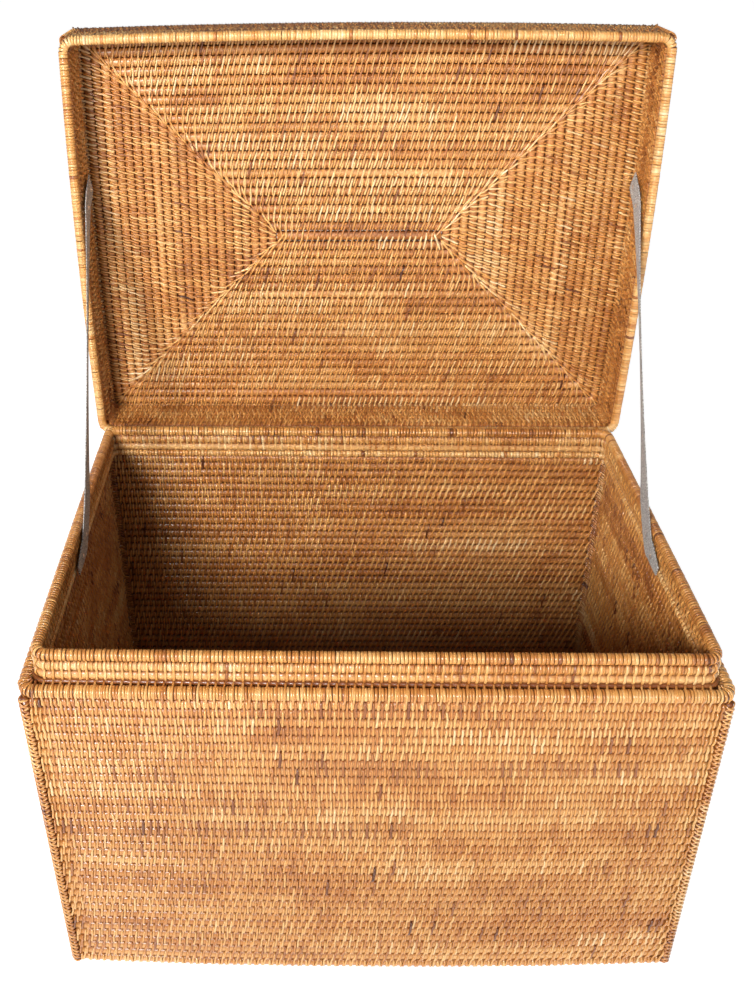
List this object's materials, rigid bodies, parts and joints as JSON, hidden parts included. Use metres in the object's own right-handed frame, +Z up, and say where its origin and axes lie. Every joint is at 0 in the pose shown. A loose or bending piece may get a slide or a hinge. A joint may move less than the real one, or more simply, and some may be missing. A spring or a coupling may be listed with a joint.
{
  "type": "wicker storage trunk",
  "caption": "Rectangular coiled-rattan storage trunk with a raised inner collar and a hinged lid that two webbing straps hold open.",
  "frame": {"origin": "centre of the trunk's underside, on the plane it stands on", "axes": "+Z up, -Y towards the front of the trunk, +X to the right seen from the front; the lid is open at rest, standing up at the back"},
  "size_m": [0.761, 0.6534, 1.0041],
  "materials": {
    "rattan_weave": "natural rattan rods bound with split peel, satin",
    "rattan_peel": "close-wound split rattan peel, satin sheen",
    "grey_webbing": "woven polypropylene webbing, matte",
    "zinc_steel": "zinc-plated steel",
    "bright_screw": "bright plated screw heads"
  },
  "bodies": {
    "trunk": {"base_panel": "rattan_weave", "front_wall": "rattan_weave", "back_wall": "rattan_weave", "left_wall": "rattan_weave", "right_wall": "rattan_weave", "corner_binding_front_left": "rattan_peel", "corner_binding_front_right": "rattan_peel", "corner_binding_back_left": "rattan_peel", "corner_binding_back_right": "rattan_peel", "shoulder_rim": "rattan_peel", "neck_collar": "rattan_weave", "neck_rim": "rattan_peel", "inner_seam_rod": "rattan_peel", "hinge_left_trunk_leaf": "zinc_steel", "hinge_left_pin": "zinc_steel", "hinge_left_trunk_screw_a": "zinc_steel", "hinge_left_trunk_screw_b": "zinc_steel", "strap_left": "grey_webbing", "strap_left_lower_screw_a": "bright_screw", "strap_left_lower_screw_b": "bright_screw", "hinge_right_trunk_leaf": "zinc_steel", "hinge_right_pin": "zinc_steel", "hinge_right_trunk_screw_a": "zinc_steel", "hinge_right_trunk_screw_b": "zinc_steel", "strap_right": "grey_webbing", "strap_right_lower_screw_a": "bright_screw", "strap_right_lower_screw_b": "bright_screw"},
    "lid": {"lid_top_panel": "rattan_weave", "lid_front_skirt": "rattan_weave", "lid_back_skirt": "rattan_weave", "lid_left_skirt": "rattan_weave", "lid_right_skirt": "rattan_weave", "lid_corner_binding_front_left": "rattan_peel", "lid_corner_binding_front_right": "rattan_peel", "lid_corner_binding_back_left": "rattan_peel", "lid_corner_binding_back_right": "rattan_peel", "lid_rim": "rattan_peel", "hinge_left_lid_leaf": "zinc_steel", "hinge_left_lid_screw_a": "zinc_steel", "hinge_left_lid_screw_b": "zinc_steel", "strap_left_upper_screw_a": "bright_screw", "strap_left_upper_screw_b": "bright_screw", "hinge_right_lid_leaf": "zinc_steel", "hinge_right_lid_screw_a": "zinc_steel", "hinge_right_lid_screw_b": "zinc_steel", "strap_right_upper_screw_a": "bright_screw", "strap_right_upper_screw_b": "bright_screw"}
  },
  "joints": [
    {"name": "lid_hinge", "type": "hinge", "parent": "trunk", "child": "lid", "pos_m": [0, 0.279, 0.4523], "axis": [1, 0, 0], "range_deg": [0, 91.5], "deforming": ["strap_left", "strap_right"]}
  ]
}
